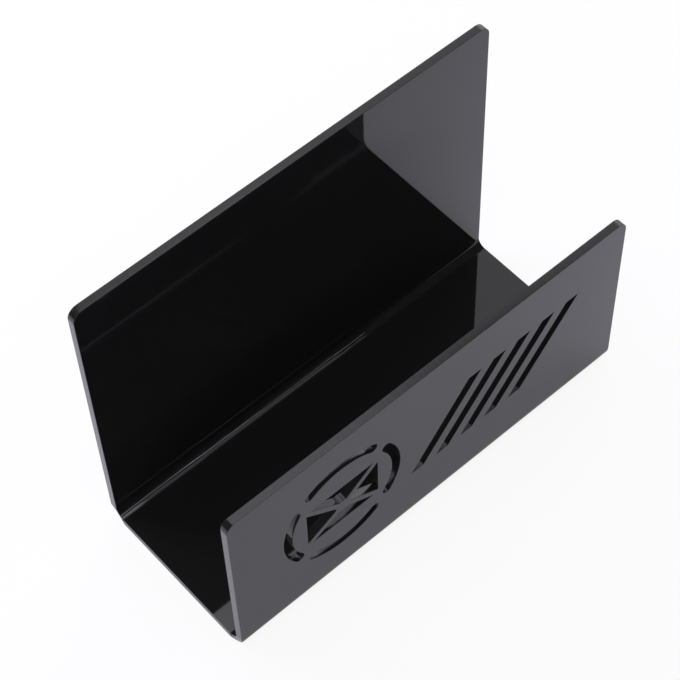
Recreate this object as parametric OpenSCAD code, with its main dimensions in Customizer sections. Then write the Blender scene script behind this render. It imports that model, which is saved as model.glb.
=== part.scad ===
// Mail organizer: one sheet of black acrylic, laser-cut flat and then bent twice over a hot wire.
// A tall back panel, a flat base and a lower front panel hold a stack of letters between them.
// The sheet is drawn as its five zones, which meet face to face where the bends begin and end.
// X runs along the pocket, Y from front to back, Z up, with the origin under the middle of the base.

/* [Sheet] */
// Width of the sheet, along the bends
sheet_w = 170; // [150:1:260]
// Thickness of the sheet
sheet_t = 3; // [2:0.1:5]
// Radius of the four free corners
corner_r = 4; // [1:0.5:10]

/* [Pocket] */
// Clear depth between the front and back panels
pocket_d = 63.5; // [30:0.5:120]
// Height of the back panel's top edge above the table
back_h = 121.5; // [90:0.5:200]
// Height of the front panel's top edge above the table
front_h = 81.5; // [76:0.5:120]

/* [Bends] */
// Inside radius of both heat-bent corners
bend_r = 3.5; // [1:0.5:8]

/* [Postmark ring] */
// Radius of the middle of the ring's slot
ring_r = 23; // [22:0.5:26]
// Width of the ring's slot
ring_slot = 3.6; // [2:0.1:4.5]
// Number of bridges that hold the disc inside the ring
ring_bridges = 4; // [3:1:6]
// Width of solid sheet left at each bridge
bridge_w = 4.5; // [3:0.5:7]

/* [Letter inside the ring] */
// Width of the letter
letter_w = 30; // [20:0.5:31]
// Height of the letter
letter_h = 20; // [14:0.5:21]
// How far the flap's point hangs below the top of the letter
flap_drop = 11.5; // [8:0.5:12]
// Width of the solid lines between the letter's four folds
fold_line = 2.4; // [1.6:0.1:3]
// Diameter of the round seal at the flap's point
seal_d = 6; // [4:0.5:8]

/* [Slanted stripes] */
// Number of stripes beside the ring
stripe_count = 5; // [3:1:5]
// Distance from one stripe to the next
stripe_pitch = 11; // [10:0.25:11.5]
// Width of each stripe, measured along the panel
stripe_w = 5.4; // [4:0.1:6]
// Height of the stripes
stripe_h = 32; // [24:1:34]
// How far the stripes lean over, in degrees from upright
stripe_lean = 38; // [30:1:42]
// Space between the ring's slot and the foot of the first stripe
stripe_gap = 5; // [4:0.5:7]

/* [Hidden] */
$fn = 64;

bend_outer = bend_r + sheet_t;
depth = pocket_d + 2 * sheet_t;
front_y = -depth / 2;
back_y = depth / 2;

// Places on the front panel are measured from the middle of its flat zone
front_middle = (bend_outer + front_h) / 2;
ring_edge = ring_r + ring_slot / 2;
stripe_shift = stripe_h * tan(stripe_lean);
stripe_run = (stripe_count - 1) * stripe_pitch + stripe_w + stripe_shift;
pattern_w = 2 * ring_edge + stripe_gap + stripe_run;
ring_x = -pattern_w / 2 + ring_edge;
stripe_x = pattern_w / 2 - stripe_run;

// The cutters run past both faces of the sheet
cut_over = 1;
cut_depth = sheet_t + 2 * cut_over;

acrylic = [0.06, 0.06, 0.065];
acrylic_bend = [0.11, 0.11, 0.12];

// Takes a shape drawn in X and Y, with its thickness up Z, and stands it on edge facing the front
module stand_up(y) {
  translate([0, y, 0]) rotate([90, 0, 0]) children();
}

// A flat zone that starts where its bend ends and has two rounded corners at its top edge
module upright_panel(height) {
  flat_h = height - bend_outer;
  corner_x = sheet_w / 2 - corner_r;
  translate([0, bend_outer, 0]) linear_extrude(sheet_t) {
    translate([-sheet_w / 2, 0]) square([sheet_w, flat_h - corner_r]);
    translate([-corner_x, 0]) square([2 * corner_x, flat_h]);
    for (side = [-1, 1]) {
      translate([side * corner_x, flat_h - corner_r]) circle(corner_r);
    }
  }
}

// A quarter of a tube that starts at the given angle, seen along the bend
module heat_bend(y, from_angle) {
  translate([0, y, bend_outer]) rotate([90, 0, 90]) translate([0, 0, -sheet_w / 2])
    rotate([0, 0, from_angle]) rotate_extrude(angle = 90)
      translate([bend_r, 0]) square([sheet_t, sheet_w]);
}

// A round-ended slot along an arc about the origin
module arc_slot(radius, from_angle, to_angle, width) {
  rotate([0, 0, from_angle]) rotate_extrude(angle = to_angle - from_angle)
    translate([radius - width / 2, 0]) square([width, cut_depth]);
  for (angle = [from_angle, to_angle]) {
    rotate([0, 0, angle]) translate([radius, 0, 0]) cylinder(d = width, h = cut_depth);
  }
}

// The ring is broken by bridges, so that the disc inside it stays in place
module ring_cut() {
  step = 360 / ring_bridges;
  // Half the angle between a bridge's middle and the centre of the slot's round end
  inset = 2 * asin((bridge_w + ring_slot) / 2 / (2 * ring_r));
  for (i = [0 : ring_bridges - 1]) {
    bridge_angle = (i + 0.5) * step;
    arc_slot(ring_r, bridge_angle + inset, bridge_angle + step - inset, ring_slot);
  }
}

// A letter seen from its back: its four folds are cut out, and the lines between them are left solid.
// The lines run from the corners to the flap's point, where the solid seal joins them
module letter_cut() {
  flap_point = [0, letter_h / 2 - flap_drop];
  linear_extrude(cut_depth) difference() {
    square([letter_w, letter_h], center = true);
    translate(flap_point) circle(d = seal_d);
    for (across = [-1, 1], up = [-1, 1]) {
      run = [across * letter_w / 2, up * letter_h / 2] - flap_point;
      // The line runs past the corner by its own width, so that it leaves the rectangle cleanly
      translate(flap_point) rotate(atan2(run[1], run[0]))
        translate([0, -fold_line / 2]) square([norm(run) + fold_line, fold_line]);
    }
  }
}

// One stripe like those along the edge of an airmail letter: a slanted bar with level ends
module stripe_cut() {
  linear_extrude(cut_depth) polygon([
    [0, -stripe_h / 2],
    [stripe_w, -stripe_h / 2],
    [stripe_w + stripe_shift, stripe_h / 2],
    [stripe_shift, stripe_h / 2]
  ]);
}

// The pattern cut through the front panel
module postmark_cut() {
  translate([0, front_middle, -cut_over]) {
    translate([ring_x, 0, 0]) {
      ring_cut();
      letter_cut();
    }
    for (i = [0 : stripe_count - 1]) {
      translate([stripe_x + i * stripe_pitch, 0, 0]) stripe_cut();
    }
  }
}

module back_panel() {
  color(acrylic) stand_up(back_y) upright_panel(back_h);
}

module back_bend() {
  color(acrylic_bend) heat_bend(back_y - bend_outer, 270);
}

module base_panel() {
  color(acrylic) translate([-sheet_w / 2, front_y + bend_outer, 0])
    cube([sheet_w, depth - 2 * bend_outer, sheet_t]);
}

module front_bend() {
  color(acrylic_bend) heat_bend(front_y + bend_outer, 180);
}

module front_panel() {
  color(acrylic) stand_up(front_y + sheet_t) difference() {
    upright_panel(front_h);
    postmark_cut();
  }
}

back_panel();
back_bend();
base_panel();
front_bend();
front_panel();
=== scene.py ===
import math

import bmesh
import bpy
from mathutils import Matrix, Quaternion, Vector


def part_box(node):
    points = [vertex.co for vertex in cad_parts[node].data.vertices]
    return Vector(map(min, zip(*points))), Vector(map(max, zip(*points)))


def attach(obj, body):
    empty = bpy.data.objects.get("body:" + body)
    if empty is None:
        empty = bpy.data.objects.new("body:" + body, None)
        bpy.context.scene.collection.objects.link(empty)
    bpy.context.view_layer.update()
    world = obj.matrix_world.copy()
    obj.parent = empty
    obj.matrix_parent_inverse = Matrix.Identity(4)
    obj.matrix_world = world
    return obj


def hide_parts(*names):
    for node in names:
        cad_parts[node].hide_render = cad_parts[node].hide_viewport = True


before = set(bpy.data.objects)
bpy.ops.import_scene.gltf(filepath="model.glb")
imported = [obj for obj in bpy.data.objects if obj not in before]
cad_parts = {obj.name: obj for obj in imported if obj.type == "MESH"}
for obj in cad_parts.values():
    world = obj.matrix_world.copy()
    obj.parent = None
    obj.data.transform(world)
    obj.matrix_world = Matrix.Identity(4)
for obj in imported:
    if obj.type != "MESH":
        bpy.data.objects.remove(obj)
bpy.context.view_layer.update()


# The back panel: the tall end of one sheet of black acrylic, cut flat by laser from a cast sheet.
# Its faces are the gloss that the sheet was cast with, and its cut rims and edges are melted
# smooth by the beam. It runs into the base through a bend, without a seam.

def to_linear(srgb_hex):
    """An sRGB hex colour as linear red, green, blue and alpha."""
    shares = [int(srgb_hex[i:i + 2], 16) / 255 for i in (0, 2, 4)]
    linear = [s / 12.92 if s <= 0.04045 else ((s + 0.055) / 1.055) ** 2.4 for s in shares]
    return linear + [1.0]


def add_node(tree, kind, inputs=None, **settings):
    """Adds a node. Its inputs map a socket's name or number to a value or to another output."""
    node = tree.nodes.new(kind)
    for name, value in settings.items():
        setattr(node, name, value)
    for socket, value in (inputs or {}).items():
        if isinstance(value, bpy.types.NodeSocket):
            tree.links.new(value, node.inputs[socket])
        else:
            node.inputs[socket].default_value = value
    return node


def empty_material(name):
    """A new material with nothing in its node tree yet, and that tree."""
    material = bpy.data.materials.new(name)
    material.use_nodes = True
    material.node_tree.nodes.clear()
    return material, material.node_tree


acrylic_black = "1a1a1a"
acrylic_ior = 1.49
cast_wave_length = 0.055
cast_wave_height = 0.00001
haze_patch = 0.022
haze_begins, haze_full = 0.35, 0.7
clean_roughness, hazy_roughness = 0.015, 0.05


def cast_acrylic():
    """Cast acrylic, polished by the glass that it was cast against: a deep black with a hard,
    clear reflection, and a slow waviness that only shows in that reflection."""
    material, tree = empty_material("Cast acrylic")
    place = add_node(tree, "ShaderNodeTexCoord").outputs["Object"]
    # The sheet is never quite flat: waves of about 55 mm, a hundredth of a millimetre high
    wave = add_node(tree, "ShaderNodeTexNoise",
                    {"Vector": place, "Scale": 1 / cast_wave_length, "Detail": 1.0})
    bump = add_node(tree, "ShaderNodeBump",
                    {"Height": wave.outputs["Fac"], "Distance": cast_wave_height})
    # Wiping leaves the gloss a little uneven, in patches of about 20 mm
    haze = add_node(tree, "ShaderNodeTexNoise",
                    {"Vector": place, "Scale": 1 / haze_patch, "Detail": 4.0})
    gloss = add_node(tree, "ShaderNodeMapRange",
                     {"Value": haze.outputs["Fac"],
                      "From Min": haze_begins, "From Max": haze_full,
                      "To Min": clean_roughness, "To Max": hazy_roughness})
    shader = add_node(tree, "ShaderNodeBsdfPrincipled",
                      {"Base Color": to_linear(acrylic_black), "IOR": acrylic_ior,
                       "Roughness": gloss.outputs["Result"], "Normal": bump.outputs["Normal"]})
    add_node(tree, "ShaderNodeOutputMaterial", {"Surface": shader.outputs["BSDF"]})
    return material


x_axis, y_axis, z_axis = 0, 1, 2
edge_black = "1b1b1a"
edge_roughness = 0.16
streak_pitch = 0.0007
streak_length = 0.0175
streak_height = 0.00006
streak_strength = 0.5


def laser_cut_edge(name, beam_axis):
    """A laser-cut edge: melted smooth by the beam but duller than the faces, with fine streaks
    along the beam. Real streaks are about 0.2 mm apart, and are drawn at 0.7 mm so that they
    show."""
    material, tree = empty_material(name)
    place = add_node(tree, "ShaderNodeTexCoord").outputs["Object"]
    # The noise is drawn out along the beam, which makes it streaks
    along = [streak_pitch / streak_length if axis == beam_axis else 1.0
             for axis in (x_axis, y_axis, z_axis)]
    drawn = add_node(tree, "ShaderNodeMapping", {"Vector": place, "Scale": along})
    streaks = add_node(tree, "ShaderNodeTexNoise",
                       {"Vector": drawn.outputs["Vector"], "Scale": 1 / streak_pitch,
                        "Detail": 2.0})
    bump = add_node(tree, "ShaderNodeBump",
                    {"Height": streaks.outputs["Fac"], "Distance": streak_height,
                     "Strength": streak_strength})
    shader = add_node(tree, "ShaderNodeBsdfPrincipled",
                      {"Base Color": to_linear(edge_black), "IOR": acrylic_ior,
                       "Roughness": edge_roughness, "Normal": bump.outputs["Normal"]})
    add_node(tree, "ShaderNodeOutputMaterial", {"Surface": shader.outputs["BSDF"]})
    return material


def put_in_scene(name, data):
    """Puts a new object with this data in the scene, at the origin."""
    thing = bpy.data.objects.new(name, data)
    bpy.context.scene.collection.objects.link(thing)
    return thing


def finish_piece(piece, node):
    """Makes the piece's modifiers part of its mesh, and lets it stand for its CAD node. Its broad
    faces keep their own normals, so that only the rounded rims turn between them."""
    weighted = piece.modifiers.new("Broad faces stay flat", "WEIGHTED_NORMAL")
    weighted.keep_sharp = True
    graph = bpy.context.evaluated_depsgraph_get()
    built = bpy.data.meshes.new_from_object(piece.evaluated_get(graph),
                                            preserve_all_data_layers=True, depsgraph=graph)
    piece.modifiers.clear()
    piece.data = built
    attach(piece, "root")
    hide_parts(node)


sheet_face = cast_acrylic()
upright_edge = laser_cut_edge("Laser-cut edge of an upright panel", y_axis)
rim_radius = 0.00012
rim_steps = 2
# The CAD mesh is loose triangles: points this close are one point, and faces this level are one
same_place = 1e-6
same_plane = math.radians(0.05)
# An edge sharper than this is a cut rim, and a face turned this squarely outwards is a broad one
rim_angle = math.radians(40)
broad_face_turn = 0.999


def finished_sheet(node, name, across, seams, edge):
    """Copies a flat zone of the sheet and rounds its cut rims. A seam is a plane, given as axis
    and place, where the zone meets a bend. The real sheet runs on there, so it isn't rounded."""
    shape = bmesh.new()
    shape.from_mesh(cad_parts[node].data)
    bmesh.ops.remove_doubles(shape, verts=shape.verts, dist=same_place)
    bmesh.ops.dissolve_limit(shape, angle_limit=same_plane, verts=shape.verts, edges=shape.edges)

    def on_seam(element):
        return any(all(abs(corner.co[axis] - at) < same_place for corner in element.verts)
                   for axis, at in seams)

    rims = [line for line in shape.edges
            if line.calc_face_angle(0) > rim_angle and not on_seam(line)]
    bmesh.ops.bevel(shape, geom=rims, offset=rim_radius, segments=rim_steps, profile=0.5,
                    affect="EDGES", clamp_overlap=True)
    for face in shape.faces:
        face.material_index = 0 if abs(face.normal[across]) > broad_face_turn else 1
        face.smooth = not on_seam(face)
    mesh = bpy.data.meshes.new(name)
    shape.to_mesh(mesh)
    shape.free()
    mesh.materials.append(sheet_face)
    mesh.materials.append(edge)
    finish_piece(put_in_scene(name, mesh), node)


back_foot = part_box("back_panel")[0].z
finished_sheet("back_panel", "back_panel_sheet", y_axis, [(z_axis, back_foot)], upright_edge)


# The back bend: a strip of the sheet that was softened over a hot wire and folded up by a quarter
# turn. The outside is stretched, so its ends draw in a little, and the surface keeps a faint
# ripple.

ripple_pitch, ripple_length, ripple_height = 0.004, 0.018, 0.0002
crease_pitch, crease_length, crease_height = 0.0012, 0.05, 0.00003
scuff_pitch, scuff_length = 0.0004, 0.005
scuffs_begin, scuffs_full = 0.4, 0.65
bent_roughness, scuffed_roughness = 0.02, 0.08


def heat_bent_acrylic():
    """The same acrylic where it was heated and stretched. A slow ripple makes its reflection
    wander, long crease lines along the bend break it up, and scuffs soften it in some places.
    Real creases and scuffs are finer than these, which are coarse enough to show."""
    material, tree = empty_material("Heat-bent acrylic")
    place = add_node(tree, "ShaderNodeTexCoord").outputs["Object"]

    def drawn_noise(pitch, length, detail):
        stretched = add_node(tree, "ShaderNodeMapping",
                             {"Vector": place, "Scale": [pitch / length, 1.0, 1.0]})
        noise = add_node(tree, "ShaderNodeTexNoise",
                         {"Vector": stretched.outputs["Vector"], "Scale": 1 / pitch,
                          "Detail": detail})
        return noise.outputs["Fac"]

    rippled = add_node(tree, "ShaderNodeBump",
                       {"Height": drawn_noise(ripple_pitch, ripple_length, 1.0),
                        "Distance": ripple_height})
    creased = add_node(tree, "ShaderNodeBump",
                       {"Height": drawn_noise(crease_pitch, crease_length, 1.0),
                        "Distance": crease_height, "Normal": rippled.outputs["Normal"]})
    scuffed = add_node(tree, "ShaderNodeMapRange",
                       {"Value": drawn_noise(scuff_pitch, scuff_length, 2.0),
                        "From Min": scuffs_begin, "From Max": scuffs_full,
                        "To Min": bent_roughness, "To Max": scuffed_roughness})
    shader = add_node(tree, "ShaderNodeBsdfPrincipled",
                      {"Base Color": to_linear(acrylic_black), "IOR": acrylic_ior,
                       "Roughness": scuffed.outputs["Result"],
                       "Normal": creased.outputs["Normal"]})
    add_node(tree, "ShaderNodeOutputMaterial", {"Surface": shader.outputs["BSDF"]})
    return material


# A bend's face is cut edge where more than this share of its normal points along X
edge_turn = 0.1


def bend_tree():
    """The rule of a bend: a strip with rounded rims, swept in steps and folded by a quarter turn
    about a line along X, with its ends drawn in where the outside is stretched most."""
    tree = bpy.data.node_groups.new("Heat bend", "GeometryNodeTree")
    interface = tree.interface
    interface.new_socket("Bend", in_out="OUTPUT", socket_type="NodeSocketGeometry")
    for name in ("Width", "Thickness", "Inside radius", "Rim radius", "Start angle", "Draw in"):
        interface.new_socket(name, in_out="INPUT", socket_type="NodeSocketFloat")
    for name in ("Steps", "Rim steps"):
        interface.new_socket(name, in_out="INPUT", socket_type="NodeSocketInt")
    interface.new_socket("Centre", in_out="INPUT", socket_type="NodeSocketVector")
    for name in ("Face", "Edge"):
        interface.new_socket(name, in_out="INPUT", socket_type="NodeSocketMaterial")
    given = add_node(tree, "NodeGroupInput").outputs

    def maths(operation, first, second=0.0):
        return add_node(tree, "ShaderNodeMath", {0: first, 1: second},
                        operation=operation).outputs[0]

    # The strip's cross-section is its width by its thickness, swept one unit up Z
    section = add_node(tree, "GeometryNodeCurvePrimitiveQuadrilateral",
                       {"Width": given["Width"], "Height": given["Thickness"]}, mode="RECTANGLE")
    rounded = add_node(tree, "GeometryNodeFilletCurve",
                       {"Curve": section.outputs["Curve"], "Count": given["Rim steps"],
                        "Radius": given["Rim radius"]}, mode="POLY")
    line = add_node(tree, "GeometryNodeCurvePrimitiveLine", {"End": (0.0, 0.0, 1.0)})
    stepped = add_node(tree, "GeometryNodeResampleCurve",
                       {"Curve": line.outputs["Curve"], "Count": given["Steps"]})
    strip = add_node(tree, "GeometryNodeCurveToMesh",
                     {"Curve": stepped.outputs["Curve"],
                      "Profile Curve": rounded.outputs["Curve"], "Fill Caps": True})
    place = add_node(tree, "GeometryNodeInputPosition").outputs["Position"]
    x, y, z = add_node(tree, "ShaderNodeSeparateXYZ", {0: place}).outputs

    # The ends draw in most on the outside, halfway round the bend
    outward = maths("ADD", maths("DIVIDE", y, given["Thickness"]), 0.5)
    halfway = maths("SINE", maths("MULTIPLY", z, math.pi))
    drawn = maths("MULTIPLY", maths("MULTIPLY", outward, halfway), given["Draw in"])
    share = maths("SUBTRACT", 1.0, maths("DIVIDE", drawn, maths("DIVIDE", given["Width"], 2.0)))
    angle = maths("ADD", given["Start angle"], maths("MULTIPLY", z, math.pi / 2))
    middle = maths("ADD", given["Inside radius"], maths("DIVIDE", given["Thickness"], 2.0))
    radius = maths("ADD", middle, y)
    folded = add_node(tree, "ShaderNodeCombineXYZ",
                      {0: maths("MULTIPLY", x, share),
                       1: maths("MULTIPLY", radius, maths("COSINE", angle)),
                       2: maths("MULTIPLY", radius, maths("SINE", angle))})
    centred = add_node(tree, "ShaderNodeVectorMath",
                       {0: folded.outputs["Vector"], 1: given["Centre"]}, operation="ADD")
    bent = add_node(tree, "GeometryNodeSetPosition",
                    {"Geometry": strip.outputs["Mesh"], "Position": centred.outputs["Vector"]})

    # Swept faces have four corners. The two caps have more and are shaded flat, so that the bend
    # ends sharply where it meets the flat zones
    corners = add_node(tree, "GeometryNodeInputMeshFaceNeighbors").outputs["Vertex Count"]
    swept = add_node(tree, "FunctionNodeCompare", {2: corners, 3: 4},
                     data_type="INT", operation="EQUAL").outputs[0]
    smooth = add_node(tree, "GeometryNodeSetShadeSmooth",
                      {"Geometry": bent.outputs["Geometry"], "Shade Smooth": swept})

    # The faces at the ends of the strip are cut edges and their rims
    normal = add_node(tree, "GeometryNodeInputNormal").outputs["Normal"]
    sideways = maths("ABSOLUTE", add_node(tree, "ShaderNodeSeparateXYZ", {0: normal}).outputs[0])
    faced = add_node(tree, "GeometryNodeSetMaterial",
                     {"Geometry": smooth.outputs["Geometry"], "Material": given["Face"]})
    edged = add_node(tree, "GeometryNodeSetMaterial",
                     {"Geometry": faced.outputs["Geometry"], "Material": given["Edge"],
                      "Selection": maths("GREATER_THAN", sideways, edge_turn)})
    real = add_node(tree, "GeometryNodeRealizeInstances", {0: edged.outputs["Geometry"]})
    add_node(tree, "NodeGroupOutput", {"Bend": real.outputs["Geometry"]})
    return tree


bent_face = heat_bent_acrylic()
bent_edge = laser_cut_edge("Laser-cut edge at a bend", z_axis)
heat_bend = bend_tree()
base_low, base_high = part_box("base_panel")
bend_low, bend_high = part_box("back_bend")
sheet_thickness = base_high.z - base_low.z
bend_inside = bend_high.z - bend_low.z - sheet_thickness
bend_steps = 45
end_draw_in = 0.0006


def bend_piece(node, name, centre, start_angle):
    """Folds one strip of the sheet where its CAD node is. The start angle is in degrees, where 0
    is towards the back of the holder and 90 is up."""
    piece = put_in_scene(name, bpy.data.meshes.new(name))
    fold = piece.modifiers.new("Heat bend", "NODES")
    fold.node_group = heat_bend
    sizes = {"Width": bend_high.x - bend_low.x, "Thickness": sheet_thickness,
             "Inside radius": bend_inside, "Rim radius": rim_radius,
             "Start angle": math.radians(start_angle), "Draw in": end_draw_in,
             "Steps": bend_steps + 1, "Rim steps": rim_steps - 1, "Centre": centre,
             "Face": bent_face, "Edge": bent_edge}
    for socket in heat_bend.interface.items_tree:
        if socket.in_out == "INPUT":
            fold[socket.identifier] = sizes[socket.name]
    finish_piece(piece, node)


bend_piece("back_bend", "back_bend_sheet", (0.0, bend_low.y, bend_high.z), 270)


# The base: the flat middle of the sheet, which the letters stand on. It rests on the table
# all over its underside, between the two bends.

base_edge = laser_cut_edge("Laser-cut edge of the base", z_axis)
base_seams = [(y_axis, base_low.y), (y_axis, base_high.y)]
finished_sheet("base_panel", "base_panel_sheet", z_axis, base_seams, base_edge)


# The front bend: a second strip of the sheet, softened and folded up like the one at the back.
# Its quarter turn runs from the front panel's side, at 180 degrees, down to the base.

front_bend_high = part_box("front_bend")[1]
bend_piece("front_bend", "front_bend_sheet", (0.0, front_bend_high.y, front_bend_high.z), 180)


# The front panel: the low end of the sheet. A pattern is cut right through it, a broken ring round
# a letter with slanted airmail stripes beside it, and its cut walls show the beam's streaks.

front_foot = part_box("front_panel")[0].z
finished_sheet("front_panel", "front_panel_sheet", y_axis, [(z_axis, front_foot)], upright_edge)


# The table: a plain floor of pale matt paper that the holder stands on. The camera sees it almost
# plain white, with a trace of the holder's shadow. The gloss mirrors it as the lamps light it, with
# about a quarter of plain white mixed in.

floor_white = "f2f1fc"
plain_white = "ffffff"
floor_half = 20.0
floor_drop = 0.00005
shown_white = 0.9
mirrored_white = 0.27
table_mesh = bpy.data.meshes.new("table")
table_corners = [(x * floor_half, y * floor_half, -floor_drop)
                 for x, y in ((-1, -1), (1, -1), (1, 1), (-1, 1))]
table_mesh.from_pydata(table_corners, [], [(0, 1, 2, 3)])
table = put_in_scene("table", table_mesh)
paper, paper_tree = empty_material("Matt white paper")
paper_lit = add_node(paper_tree, "ShaderNodeBsdfDiffuse", {"Color": to_linear(floor_white)})
paper_white = add_node(paper_tree, "ShaderNodeEmission",
                       {"Color": to_linear(plain_white), "Strength": 1.0})
ray = add_node(paper_tree, "ShaderNodeLightPath").outputs
mirrored = add_node(paper_tree, "ShaderNodeMath",
                    {0: ray["Is Glossy Ray"], 1: ray["Is Transmission Ray"]},
                    operation="MAXIMUM").outputs[0]
mirrored_share = add_node(paper_tree, "ShaderNodeMath", {0: mirrored, 1: mirrored_white},
                          operation="MULTIPLY").outputs[0]
white_share = add_node(paper_tree, "ShaderNodeMath",
                       {0: ray["Is Camera Ray"], 1: shown_white, 2: mirrored_share},
                       operation="MULTIPLY_ADD").outputs[0]
paper_shown = add_node(paper_tree, "ShaderNodeMixShader",
                       {"Fac": white_share, 1: paper_lit.outputs["BSDF"],
                        2: paper_white.outputs["Emission"]})
add_node(paper_tree, "ShaderNodeOutputMaterial", {"Surface": paper_shown.outputs["Shader"]})
# The white lights nothing, so the renderer needn't sample it as a lamp
paper.cycles.emission_sampling = "NONE"
table_mesh.materials.append(paper)


# The light: soft lamps round the holder in a dim room, as in a small studio. Azimuths are measured
# from straight in front of the holder, towards its right end.

room_glow = 0.05
world = bpy.data.worlds.new("Dim room")
bpy.context.scene.world = world
world.use_nodes = True
room = world.node_tree
room.nodes.clear()
room_light = add_node(room, "ShaderNodeBackground",
                      {"Color": to_linear(plain_white), "Strength": room_glow})
# Behind the edge of the floor, the camera sees the same white as the floor's
room_white = add_node(room, "ShaderNodeBackground",
                      {"Color": to_linear(plain_white), "Strength": shown_white})
room_ray = add_node(room, "ShaderNodeLightPath").outputs
room_shown = add_node(room, "ShaderNodeMixShader",
                      {"Fac": room_ray["Is Camera Ray"], 1: room_light.outputs["Background"],
                       2: room_white.outputs["Background"]})
add_node(room, "ShaderNodeOutputWorld", {"Surface": room_shown.outputs["Shader"]})
# The room is the same dim level all round, so it needn't be sampled as a lamp either
world.cycles.sampling_method = "NONE"

lamp_white = "f8f7ff"
lamp_distance = 1.5
lamp_target = Vector((0.0, 0.0, 0.05))


def soft_lamp(name, azimuth, elevation, half_width, half_height, glow, distance=lamp_distance):
    """A flat soft lamp that faces the holder. Its half sizes are angles, seen from the holder, and
    its glow is how bright its face looks, where 1 is white. Angles are in degrees."""
    turn, lift = math.radians(azimuth), math.radians(elevation)
    towards = Vector((math.cos(lift) * math.sin(turn), -math.cos(lift) * math.cos(turn),
                      math.sin(lift)))
    lamp_data = bpy.data.lights.new(name, "AREA")
    lamp_data.shape = "RECTANGLE"
    lamp_data.color = to_linear(lamp_white)[:3]
    lamp_data.size = 2 * distance * math.tan(math.radians(half_width))
    lamp_data.size_y = 2 * distance * math.tan(math.radians(half_height))
    lamp_data.energy = glow * math.pi * lamp_data.size * lamp_data.size_y
    lamp = put_in_scene(name, lamp_data)
    lamp.location = lamp_target + distance * towards
    lamp.rotation_mode = "QUATERNION"
    lamp.rotation_quaternion = (-towards).to_track_quat("-Z", "Y")


soft_lamp("Lamp behind", 140, 27, 34, 30, 1.08)
soft_lamp("Lamp behind the left", 200, 27, 20, 16, 4.8, distance=0.85)
soft_lamp("Lamp at the right", 112, 24, 12, 16, 1.0)
soft_lamp("Lamp overhead", 180, 84.5, 22.5, 24.5, 0.75)
soft_lamp("Overhead, further back", 180, 72, 20, 12, 1.1, distance=1.4)
soft_lamp("Overhead, small", 180, 97, 11, 8, 2.0, distance=1.3)
# The two strips draw the line of light along the back bend
soft_lamp("Strip over the front", 0, 53.0, 22.5, 2.8, 2.6)
soft_lamp("Strip, middle", 0, 53.0, 17.5, 2.8, 2.4, distance=1.4)
soft_lamp("Lamp at the left", 287, 42, 20, 24, 1.7)
soft_lamp("Lamp in front", 0, 26, 21, 24, 0.2)
soft_lamp("Lamp at the front right", 65, 28, 16, 16, 1.3, distance=0.9)


# The camera: it stands in front of the left end and looks down into the pocket from about
# 0.7 m, through a long lens, and leans a little to one side.

camera_at = Vector((-0.24663, -0.28914, 0.62639))
camera_aim = Vector((-0.00153, 0.00966, 0.05))
camera_lean = math.radians(-2.554)
camera_data = bpy.data.cameras.new("camera")
camera_data.sensor_width = 36.0
camera_data.lens = 110.56
camera = put_in_scene("camera", camera_data)
camera.location = camera_at
camera.rotation_mode = "QUATERNION"
looking = (camera_aim - camera_at).to_track_quat("-Z", "Y")
camera.rotation_quaternion = looking @ Quaternion((0.0, 0.0, 1.0), camera_lean)
bpy.context.scene.camera = camera
bpy.context.scene.view_settings.view_transform = "Standard"
